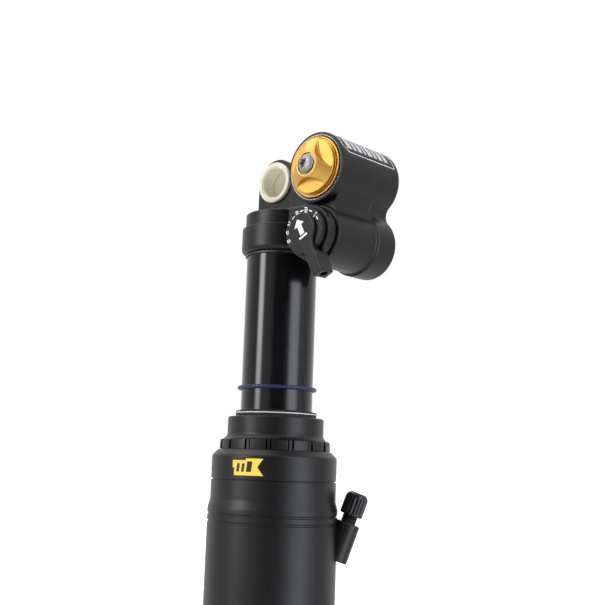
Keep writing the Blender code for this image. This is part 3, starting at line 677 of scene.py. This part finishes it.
def lever():
    disc = [
        (0, -22.0), (3.0, -22.0), (3.0, -25.2), (10.9, -25.2, 0.3), (11.3, -25.6, 0.2), (11.3, -28.3, 0.3),
        (0, -28.3),
    ]
    body = solid("compression_lever_visual", lathe(rounded(disc, 5, False), 128), LOBE)
    round_r, half, blend, length = 8.1, 3.2, 6.0, 24.5
    across = half + blend
    reach = math.sqrt((round_r + blend) ** 2 - across ** 2)
    slope = math.degrees(math.atan2(across, reach))
    outline = circle(0, 0, round_r, slope, 360 - slope, 56) + circle(reach, -across, blend, 180 - slope, 90, 12)[1:]
    outline += [(length - 0.5, -half), (length, -half + 0.5), (length, half - 0.5), (length - 0.5, half)]
    outline += circle(reach, across, blend, 270, 180 + slope, 12)[:-1]
    outline = [(x * MM, z * MM) for x, z in rotated(outline, LEVER_ANGLE)]
    edge = 0.7
    pad = [(-26.7 * MM, 0), (PAD_FACE + edge * MM, 0)]
    for k in range(1, 6):
        a = math.pi / 2 * k / 5
        pad.append((PAD_FACE + edge * MM * (1 - math.sin(a)), edge * MM * (1 - math.cos(a))))
    root, tip, half = 13.7, 24.4, 3.4
    tail = [(root, -half - 0.4), (tip, -half + 0.5), (tip, half - 0.5), (root, half + 0.4)]
    tail = [(x * MM, z * MM) for x, z in rotated(tail, LEVER_ANGLE)]
    tail_form = solid("lever_tail", prism(tail, [(-21.6 * MM, 0), (PAD_FACE + 0.5 * MM, 0)]), LOBE)
    softened(tail_form, 0.5 * MM, 3)
    combined(body, [solid("lever_pad", prism(outline, pad), LOBE), tail_form], "UNION")
    side = Matrix.Translation((POD_X, -25.6 * MM, LOBE_Z)) @ Matrix.Rotation(-LEVER_ANGLE, 4, "Y")
    side = side @ Matrix.Rotation(math.pi / 2, 4, "Y")
    bore = rounded([(0, 15), (1.7, 15), (1.7, 24.0, 0.1), (2.2, 24.6), (0, 30)], 3, False)
    combined(body, [solid("lever_hole", lathe(bore, 48), side)], "DIFFERENCE")
    dressed(body, BLACK_MACHINED, "lever", "black_alloy", "compression_lever")
    screw = rounded([(0, 15.5), (1.4, 15.5), (1.4, 20.5, 0.2), (0.8, 20.5), (0.6, 19.3), (0, 19.3)], 3, False)
    dressed(solid("lever_screw_visual", lathe(screw, 48), side), DARK_STEEL, "lever", "dark_metal", "lever_screw")


wheel()
lever()


# --- air can ---------------------------------------------------------------------------------------
SLOT_COUNT = 16
SLOT_START = -7.5                # degrees, middle of the first slot
SLOT_ARC_R = 27.0                # mm, radius at which widths along the ring are measured
SLOT_SIDE, SLOT_CORNER = 1.49, 1.27
SLOT_DEPTH, FLOOR_RISE, FLOOR_HALF = 2.2, 1.65, 0.88
CASTLE_R = 27.5


def slot_angles():
    """Angles round the castellated ring, close together at the sides of each slot."""
    half = [0.2, 0.5, 0.68, 0.8, FLOOR_HALF, 1.1, 1.28, 1.34, 1.42, 1.5, 1.8, 2.6, 3.6, 4.6]
    steps = [-s for s in half] + half
    angles = []
    for k in range(SLOT_COUNT):
        middle = math.radians(SLOT_START + 360 / SLOT_COUNT * k)
        angles += [middle + s / SLOT_ARC_R for s in steps]
    return sorted(a % (2 * math.pi) for a in angles)


def slotted(a, r, h):
    """Sinks a slot with a raised floor between two narrow grooves, its outer corners rounded."""
    if not -136.65 * MM < h < -130.0 * MM:
        return r
    pitch = 2 * math.pi / SLOT_COUNT
    off = abs((a - math.radians(SLOT_START) + pitch / 2) % pitch - pitch / 2) * SLOT_ARC_R
    if off > SLOT_SIDE:
        return r
    if off > SLOT_CORNER:
        t = (1.5 - off) / 0.22
        sunk = SLOT_DEPTH * (1 - math.sqrt(max(0.0, 1 - t * t)))
    else:
        sunk = SLOT_DEPTH - FLOOR_RISE * min(1.0, max(0.0, (FLOOR_HALF - off) / 0.2))
    return min(r, (CASTLE_R - sunk) * MM)


def seal_head():
    outside = [(20.6, -120.6), (24.0, -120.6, 0.9), (24.05, -128.6)]
    cove = [(r / MM - 0.38, h / MM) for r, h in circle((27.4 + 0.75) * MM, (-132.1 + 3.9) * MM, 3.9 * MM, 184, 262, 12)]
    rim = [(27.25, -132.25, 0.3), (27.45, -133.4), (27.5, -134.5), (27.55, -135.6), (27.6, -136.6), (26.8, -136.6)]
    inside = [
        (26.8, -139.7), (18.4, -139.7), (18.4, -138.2), (19.8, -138.2), (19.8, -132.2), (18.4, -132.2),
        (18.4, -130.3), (21.2, -130.3), (21.2, -126.6), (18.4, -126.6), (18.4, -124.0), (20.6, -124.0),
    ]
    return turned("seal_head_visual", outside + cove + rim + inside, BLACK, "air_can", "black_alloy", "seal_head",
                  shape=slotted, angles=slot_angles(), steps=5, sharp=40)


seal_head()
turned("wiper_seal_visual", [
    (18.2, -123.7), (20.2, -123.7), (20.2, -119.2), (18.9, -119.2), (18.9, -118.2), (20.3, -118.2, 0.12),
    (20.3, -117.75, 0.15), (18.9, -117.5, 0.2), (18.2, -117.2)], RUBBER, "air_can", "black_rubber", "wiper_seal",
       turns=128)
turned("wiper_ring_visual", [(19.1, -119.0), (20.55, -119.0, 0.2), (20.55, -118.4, 0.2), (19.1, -118.4)], SATIN_AND_PAINTED_HIGHLIGHT,
       "air_can", "bright_steel", "wiper_ring", turns=128)
turned("can_upper_visual", [
    (27.1, -136.9), (28.1, -136.9, 0.3), (31.1, -139.9, 1.8), (31.1, -151.15, 0.3), (30.1, -151.15),
    (30.1, -155.4), (28.4, -155.4), (28.4, -140.2), (27.1, -139.4)], BLACK, "air_can", "black_alloy", "can_upper",
       turns=192, steps=6)


def can_lower():
    corners = [
        (30.4, -151.65), (31.1, -151.65, 0.3), (31.15, -161.0, 6.0), (32.2, -165.2, 3.0), (32.2, -167.3, 0.12),
        (31.75, -167.7, 0.25), (31.75, -168.3, 0.25), (32.2, -168.7, 0.12), (32.2, -171.0, 0.12),
        (31.75, -171.4, 0.25), (31.75, -172.0, 0.25), (32.2, -172.4, 0.12), (32.2, -232.2, 2.8),
        (29.2, -232.2), (29.2, -228.8), (28.4, -228.8), (28.4, -158.0), (30.4, -158.0),
    ]
    body = solid("can_lower_visual", lathe(rounded(corners, 5), 192))
    boss = rounded([(0, -23), (6.2, -23), (6.2, -4.0, 0.6), (0, -4.0)], 5, False)
    combined(body, [solid("valve_boss", lathe(boss, 64), VALVE)], "UNION")
    well = rounded([(0, -14.0), (4.2, -14.0), (4.2, -4.6), (4.7, -4.0), (4.7, 2), (0, 2)], 3, False)
    cuts = [
        hole("can_clearance", 28.4 * MM, -227 * MM, -158.0 * MM, UP, 192),
        solid("valve_well", lathe(well, 64), VALVE),
        hole("valve_port", 1.4 * MM, -34.5 * MM, -12 * MM, VALVE, 24),
    ]
    combined(body, cuts, "DIFFERENCE")
    return dressed(body, BLACK, "air_can", "black_alloy", "can_lower")


def can_base():
    """Screwed end of the can with the lower eye, spanner slots round its edge."""
    def notched(a, r, h):
        if r < 26.0 * MM or h > -235.3 * MM:
            return r
        return r - 1.4 * MM * max(0.0, math.cos(8 * (a + 0.1963))) ** 12

    disc = [
        (0, -226.5), (28.1, -226.5, 0.2), (28.1, -227.0), (26.8, -227.0), (26.8, -228.4), (28.1, -228.4),
        (28.1, -232.6), (31.2, -232.6, 0.3), (31.2, -235.2, 0.6), (29.0, -238.2, 0.4), (27.8, -238.9, 0.3),
        (14.0, -238.9), (0, -238.9),
    ]
    body = solid("can_base_visual", lathe(rounded(disc, 4, False), 240, notched))
    combined(body, [solid("foot_lug", lug(LOWER_EYE_Z, -1, -236.0 * MM), along_y(0, 0))], "UNION")
    cuts = [
        hole("foot_bore", EYE_BORE_R, -20 * MM, 20 * MM, along_y(0, LOWER_EYE_Z)),
        hole("rod_socket", 6.3 * MM, -235.0 * MM, -220 * MM, UP, 48),
        hole("knob_hole", 2.4 * MM, -240.9 * MM, -233.7 * MM, Matrix.Translation((KNOB_X, 0, 0)), 48),
        hole("needle_way", 2.4 * MM, -237.2 * MM, -230.0 * MM, UP, 48),
    ]
    combined(body, cuts, "DIFFERENCE")
    return dressed(body, BLACK, "air_can", "black_alloy", "can_base")


can_lower()
can_base()


# --- small pieces ----------------------------------------------------------------------------------
def cap_ribs(a, r, h):
    """Grooves along the dust cap's side, fading out at both ends."""
    if r < 5.3 * MM:
        return r
    low, high, ramp = 0.7 * MM, 9.3 * MM, 0.6 * MM
    fade = min(1.0, max(0.0, (h - low) / ramp)) * min(1.0, max(0.0, (high - h) / ramp))
    return r - 0.40 * MM * fade * (0.5 - 0.5 * math.cos(18 * a)) ** 2.0


def knob_ribs(a, r, _):
    return r - (0.35 * MM * (0.5 - 0.5 * math.cos(20 * a)) ** 2 if r > 4.9 * MM else 0)


def small_pieces():
    turned("rebound_knob_visual", [
        (0, 4.5), (2.1, 4.5), (2.1, -0.4), (5.2, -0.4, 0.4), (5.2, -1.2), (5.2, -3.0), (5.2, -5.2), (5.2, -6.2, 0.5),
        (3.2, -6.2, 0.2), (2.9, -5.7, 0.2), (0, -5.7)], KNOB_GOLD, "rebound_adjuster", "gold_alloy", "rebound_knob",
           place=Matrix.Translation((KNOB_X, 0, KNOB_Z)), turns=240, closed=False,
           shape=knob_ribs)
    turned("travel_ring_visual", [(r / MM, h / MM) for r, h in circle(19.05 * MM, -106.1 * MM, 0.95 * MM, 0, 345, 23)],
           BLUE, "marker", "blue_rubber", "travel_ring", turns=144)
    threads = [(1.8, -13.5), (3.9, -13.5, 0.3)]
    for k in range(24):
        low = -12.6 + 0.85 * k
        threads += [(3.9, low), (3.55, low + 0.42)]
    threads += [(3.9, 7.9), (3.5, 8.5, 0.2), (1.8, 8.5, 0.2)]
    turned("valve_stem_visual", threads, DARK_STEEL, "air_can", "bright_steel", "valve_stem", place=VALVE, turns=64)
    turned("valve_core_visual", [
        (0, -11.0), (1.2, -11.0, 0.2), (1.2, 6.0, 0.3), (0.7, 7.0), (0.7, 8.2, 0.2), (0, 8.2)], BRONZE, "valve_pin",
           "bronze", "valve_core", place=VALVE, turns=48, closed=False)
    turned("valve_cap_visual", [
        (0, 11.5), (2.4, 11.5), (4.0, 11.3, 0.9), (5.2, 10.3, 0.9), (5.65, 8.9, 0.5), (5.7, 8.2), (5.7, 7.4),
        (5.7, 5.0), (5.7, 2.2), (5.7, 1.5), (5.7, 0.9, 0.2), (5.5, 0.0, 0.35), (4.2, 0.0), (4.2, 9.0), (0, 9.0)],
           PLASTIC, "valve_cover", "black_plastic", "valve_cap", place=VALVE, turns=288, closed=False,
           shape=cap_ribs)


small_pieces()


# --- printed marks ---------------------------------------------------------------------------------
def sliced(data, step):
    """Cuts flat outlines into strips along X so that they can bend round a cylinder."""
    low = min(v.co.x for v in data.verts)
    high = max(v.co.x for v in data.verts)
    cut = math.ceil(low / step) * step
    while cut < high:
        parts = data.verts[:] + data.edges[:] + data.faces[:]
        bmesh.ops.bisect_plane(data, geom=parts, plane_co=(cut, 0, 0), plane_no=(1, 0, 0), dist=1e-7)
        cut += step


def flat_faces(shapes):
    """Faces in the XY plane from closed outlines in mm; a pair (outer, inner) makes a frame."""
    data = bmesh.new()
    for shape in shapes:
        if isinstance(shape, tuple):
            outer, inner = shape
            a = [data.verts.new((x * MM, y * MM, 0)) for x, y in outer]
            b = [data.verts.new((x * MM, y * MM, 0)) for x, y in inner]
            for i in range(len(a)):
                j = (i + 1) % len(a)
                data.faces.new([a[i], a[j], b[j], b[i]])
        else:
            data.faces.new([data.verts.new((x * MM, y * MM, 0)) for x, y in shape])
    return data


def thickened(data, depth):
    """Gives flat faces a thickness, downwards along -Z, as closed bodies."""
    made = bmesh.ops.extrude_face_region(data, geom=data.faces[:])
    moved = [e for e in made["geom"] if isinstance(e, bmesh.types.BMVert)]
    bmesh.ops.translate(data, verts=moved, vec=(0, 0, -depth))


def on_cylinder(name, shapes, radius, bend, look, body, slot, proud=0.03 * MM, depth=0.10 * MM):
    """Marks bent round a cylinder. Outline X is distance round it, Y is distance along it."""
    data = flat_faces(shapes)
    sliced(data, math.radians(3) * radius)
    thickened(data, depth)
    for v in data.verts:
        v.co = bend(v.co.x / radius, v.co.y, radius + proud + v.co.z)
    return dressed(solid(name, data), look, body, slot, sharp=40)


def on_reservoir(angle, along, r):
    return Vector((POD_X + r * math.cos(angle), along, RES_Z + r * math.sin(angle)))


def on_can(angle, along, r):
    return Vector((r * math.cos(angle), r * math.sin(angle), along))


def oblong(x0, y0, x1, y1):
    return [(x0, y0), (x1, y0), (x1, y1), (x0, y1)]


def slanted(x, y, width, height, lean):
    return [(x, y), (x + width, y), (x + width + lean, y + height), (x + lean, y + height)]


def reservoir_label():
    """Thin white frame with a clipped corner, and plain bars where lettering would be."""
    low, high = math.radians(19) * 17.4, math.radians(75) * 17.4
    near, far, clip, line = -19.6, 19.2, 3.6, 0.34
    outer = [(low + clip, near), (high, near), (high, far), (low, far), (low, near + clip)]
    inner = [(low + clip + 0.18, near + line), (high - line, near + line), (high - line, far - line),
             (low + line, far - line), (low + line, near + clip + 0.18)]
    on_cylinder("reservoir_frame_mark", [(outer, inner)], RES_R, on_reservoir, WHITE, "head", "black_alloy")
    bars = []
    place = near + 3.4
    for width in (3.6, 2.2, 3.0, 1.6, 3.6, 2.2, 3.0, 2.6):
        bars.append(oblong(low + 2.6, place, low + 11.0, place + width))
        place += width + 1.35
    on_cylinder("reservoir_bar_marks", bars, RES_R, on_reservoir, GREY, "head", "black_alloy")


def can_decal():
    """Yellow swallow-tailed badge with plain slanted bars."""
    low, high = math.radians(-85.5) * 31.1, math.radians(-55.5) * 31.1
    base, top = -149.2, -141.2
    badge = [(low + 1.0, base), (high, base), (high - 2.9, (base + top) / 2), (high - 0.2, top), (low + 7.4, top),
             (low + 7.3, top - 0.9), (low, top - 0.9), (low + 0.1, top - 4.4), (low + 1.1, top - 4.5)]
    on_cylinder("can_badge_mark", [badge], CAN_R, on_can, YELLOW, "air_can", "black_alloy")
    bars = [slanted(low + 2.3, base + 1.7, 1.5, 3.9, 0.5), slanted(low + 5.0, base + 1.7, 1.5, 3.9, 0.5),
            slanted(low + 7.7, base + 1.7, 2.6, 4.9, 0.6)]
    on_cylinder("can_bar_marks", bars, CAN_R, on_can, INK, "air_can", "black_alloy", proud=0.05 * MM, depth=0.04 * MM)


def on_dial(name, shapes, look, face):
    """Flat marks on the lever's faces, drawn in mm about the dial's axis, X right and Y up."""
    data = flat_faces(shapes)
    thickened(data, 0.06 * MM)
    place = Matrix.Translation((POD_X, face - 0.03 * MM, LOBE_Z)) @ Matrix.Rotation(math.pi / 2, 4, "X")
    return dressed(solid(name, data, place), look, "lever", "black_alloy", sharp=40)


def radial_bar(angle, radius, length, width):
    """Short bar lying round the dial at that angle."""
    out = Vector((math.cos(angle), math.sin(angle)))
    side = Vector((-out.y, out.x))
    centre = out * radius
    return [tuple(centre + side * (length / 2 * a) + out * (width / 2 * b)) for a, b in
            ((-1, -1), (1, -1), (1, 1), (-1, 1))]


def digits():
    """Plain numbers round the dial, from the strokes of a seven-part figure."""
    w, h, t = 0.98, 1.42, 0.62
    strokes = {
        "a": oblong(-w, h - t, w, h), "g": oblong(-w, -t / 2, w, t / 2), "d": oblong(-w, -h, w, -h + t),
        "b": oblong(w - t, 0, w, h), "c": oblong(w - t, -h, w, 0),
        "f": oblong(-w, 0, -w + t, h), "e": oblong(-w, -h, -w + t, 0),
    }
    figures = {"1": "bc", "2": "abged", "3": "abgcd", "4": "fgbc", "5": "afgcd", "6": "afgedc"}
    shapes = []
    for text, degrees in (("1", 47), ("2", 83), ("3", 116), ("4", 155), ("5", 180), ("6", 205)):
        angle = math.radians(degrees)
        centre = Vector((math.cos(angle), math.sin(angle))) * 9.62
        for key in figures[text]:
            turned_points = rotated(strokes[key], angle - math.pi / 2)
            shapes.append([(centre.x + x, centre.y + y) for x, y in turned_points])
    for degrees in (65, 99.5, 135, 30):
        shapes.append(radial_bar(math.radians(degrees), 9.6, 2.0, 0.56))
    return shapes


def pad_pointer():
    """Arrow towards the numbers, with a plain bar across its foot."""
    arrow = [(5.6, 0), (2.2, 3.3), (2.2, 1.35), (-2.6, 1.35), (-2.6, -1.35), (2.2, -1.35), (2.2, -3.3)]
    turn = LEVER_ANGLE + math.pi
    return [rotated(arrow, turn), rotated(oblong(-4.4, -2.6, -3.4, 2.6), turn)]


reservoir_label()
can_decal()
on_dial("dial_number_marks", digits(), WHITE, DIAL_FACE)
on_dial("lever_pointer_mark", pad_pointer(), WHITE, PAD_FACE)


# --- CAD nodes that stay, mostly inside ------------------------------------------------------------
KEPT = (
    (INNER_METAL, "inner_tube rod_guide air_piston floating_piston main_piston"),
    (DARK_STEEL, "compression_cartridge"),
    (RUBBER, "rod_seal air_piston_seal cap_seal floating_piston_seal neck_seal seam_ring base_seal"),
    (RUBBER, "top_out_bumper bottom_out_bumper"),
    (SILVER, "piston_rod piston_nut compression_needle rebound_needle"),
    (BRONZE, "neck_bushing piston_band"),
)
for look, names in KEPT:
    for node in names.split():
        if not NODES[node].material_slots:
            NODES[node].data.materials.append(look)
        for slot in NODES[node].material_slots:
            slot.material = look


# --- stage, light and camera -----------------------------------------------------------------------
CAMERA_PLACE = Vector((0.35214, -0.36613, -0.14297))
CAMERA_AZIMUTH, CAMERA_PITCH, CAMERA_ROLL = math.radians(42.61), math.radians(9.14), math.radians(-1.98)
LENS_MM = 59.71


def camera():
    a, e, roll = CAMERA_AZIMUTH, CAMERA_PITCH, CAMERA_ROLL
    forward = Vector((-math.sin(a) * math.cos(e), math.cos(a) * math.cos(e), math.sin(e)))
    right = Vector((math.cos(a), math.sin(a), 0))
    above = right.cross(forward)
    x_axis = right * math.cos(roll) - above * math.sin(roll)
    y_axis = right * math.sin(roll) + above * math.cos(roll)
    data = bpy.data.cameras.new("camera")
    data.lens, data.sensor_width = LENS_MM, 36.0
    data.clip_start, data.clip_end = 0.01, 50.0
    made = bpy.data.objects.new("camera", data)
    made.matrix_world = Matrix.Translation(CAMERA_PLACE) @ Matrix((x_axis, y_axis, -forward)).transposed().to_4x4()
    bpy.context.scene.collection.objects.link(made)
    bpy.context.scene.camera = made


def floor():
    """Plain pale floor, hidden from mirror-like reflections."""
    data = bmesh.new()
    bottom = CAD_BOX[0].z - 0.0003
    steps = [-9.0, -3.0, -1.0, -0.3, 0.0, 0.3, 1.0, 3.0, 9.0]
    grid = [[data.verts.new((x, y, bottom)) for x in steps] for y in steps]
    for low, high in zip(grid, grid[1:]):
        for i in range(len(steps) - 1):
            data.faces.new([low[i], low[i + 1], high[i + 1], high[i]])
    made = solid("floor", data)
    look = Look("floor_paper", Roughness=0.85, Specular_IOR_Level=0.1, Emission_Color=(1, 1, 1, 1),
                Emission_Strength=0.42)
    look.colour(look.noise(3, 2), (0.3, (0.86, 0.86, 0.86)), (0.7, (0.90, 0.90, 0.90)))
    made.data.materials.append(look.made)
    made.visible_glossy = False


def bearing(psi):
    """Level direction from the shock, in degrees to the right of the way to the camera."""
    a, turn = CAMERA_AZIMUTH, math.radians(psi)
    ahead, right = Vector((math.sin(a), -math.cos(a), 0)), Vector((math.cos(a), math.sin(a), 0))
    return ahead * math.cos(turn) + right * math.sin(turn)


def softbox(name, psi, distance, height, width, tall, power):
    """Area light at that bearing, facing the shock."""
    aim = Vector((0, 0, -0.10))
    place = bearing(psi) * distance + Vector((0, 0, height))
    data = bpy.data.lights.new(name, "AREA")
    data.shape, data.size, data.size_y = "RECTANGLE", width, tall
    data.energy = power
    made = bpy.data.objects.new(name, data)
    made.location = place
    made.rotation_euler = (aim - place).to_track_quat("-Z", "Y").to_euler()
    made.visible_camera = False
    bpy.context.scene.collection.objects.link(made)


class Sky:
    """World shader built from the direction of each ray."""

    def __init__(self):
        self.made = bpy.data.worlds.new("studio")
        bpy.context.scene.world = self.made
        self.made.use_nodes = True
        self.tree = self.made.node_tree
        self.tree.nodes.clear()
        place = self.tree.nodes.new("ShaderNodeTexCoord").outputs["Generated"]
        self.level = self.vector("MULTIPLY", place, (1, 1, 0))
        self.level = self.vector("NORMALIZE", self.level)
        self.height = self.vector("DOT_PRODUCT", self.vector("NORMALIZE", place), (0, 0, 1), "Value")

    def vector(self, operation, source, other=(0, 0, 0), output="Vector"):
        made = self.tree.nodes.new("ShaderNodeVectorMath")
        made.operation = operation
        self.tree.links.new(source, made.inputs[0])
        made.inputs[1].default_value = other
        return made.outputs[output]

    def math(self, operation, a, b):
        made = self.tree.nodes.new("ShaderNodeMath")
        made.operation = operation
        for socket, value in zip(made.inputs, (a, b)):
            if isinstance(value, (int, float)):
                socket.default_value = value
            else:
                self.tree.links.new(value, socket)
        return made.outputs[0]

    def step(self, source, start, stop, low=0.0, high=1.0):
        made = self.tree.nodes.new("ShaderNodeMapRange")
        made.interpolation_type = "SMOOTHSTEP"
        for key, value in (("From Min", start), ("From Max", stop), ("To Min", low), ("To Max", high)):
            made.inputs[key].default_value = value
        self.tree.links.new(source, made.inputs["Value"])
        return made.outputs["Result"]

    def towards(self, psi):
        """Cosine of the level angle between a ray and that bearing."""
        return self.vector("DOT_PRODUCT", self.level, tuple(bearing(psi)), "Value")

    def box(self, psi, inner, outer, strength, low=-0.45, high=0.80):
        """Tall soft panel at a bearing, faded at its sides, top and foot."""
        across = self.step(self.towards(psi), math.cos(math.radians(outer)), math.cos(math.radians(inner)))
        foot = self.step(self.height, low - 0.15, low + 0.1)
        up = self.math("MULTIPLY", foot, self.step(self.height, high + 0.15, high - 0.1))
        return self.math("MULTIPLY", self.math("MULTIPLY", across, up), strength)

    def background(self, colour, strength):
        made = self.tree.nodes.new("ShaderNodeBackground")
        made.inputs["Color"].default_value = (*colour, 1)
        if isinstance(strength, (int, float)):
            made.inputs["Strength"].default_value = strength
        else:
            self.tree.links.new(strength, made.inputs["Strength"])
        return made.outputs[0]

    def add(self, a, b):
        made = self.tree.nodes.new("ShaderNodeAddShader")
        self.tree.links.new(a, made.inputs[0])
        self.tree.links.new(b, made.inputs[1])
        return made.outputs[0]


def world():
    """A light tent, white behind and dim at its open front, with a tall panel on each side."""
    sky = Sky()
    tent = sky.step(sky.towards(180), -0.80, 0.15, 0.07, 0.55)
    tent = sky.math("ADD", tent, sky.step(sky.towards(180), 0.10, 0.80, 0.0, 0.45))
    roof = sky.step(sky.height, 0.55, 0.95, 0.0, 0.75)
    ground = sky.step(sky.math("MULTIPLY", sky.height, -1.0), 0.10, 0.42, 0.0, 0.85)
    white = sky.background((1, 1, 1), sky.math("MAXIMUM", tent, sky.math("MAXIMUM", roof, ground)))
    right = sky.background((0.93, 0.97, 1.05), sky.math("ADD", sky.box(51, 2, 22, 3.0), sky.box(56, 8, 40, 0.55)))
    left_panels = sky.math("ADD", sky.box(-64, 1, 12, 9.0, 0.06, 0.60), sky.box(-44, 6, 30, 0.5))
    left = sky.background((1.0, 1.0, 1.0), left_panels)
    lit = sky.add(sky.add(white, right), left)
    mix = sky.tree.nodes.new("ShaderNodeMixShader")
    path = sky.tree.nodes.new("ShaderNodeLightPath")
    sky.tree.links.new(path.outputs["Is Camera Ray"], mix.inputs["Fac"])
    sky.tree.links.new(lit, mix.inputs[1])
    sky.tree.links.new(sky.background((1, 1, 1), 1.0), mix.inputs[2])
    out = sky.tree.nodes.new("ShaderNodeOutputWorld")
    sky.tree.links.new(mix.outputs[0], out.inputs["Surface"])


camera()
floor()
world()
softbox("top_box", -120, 0.50, 1.00, 0.7, 0.7, 3.0)
bpy.context.scene.view_settings.view_transform = "Standard"
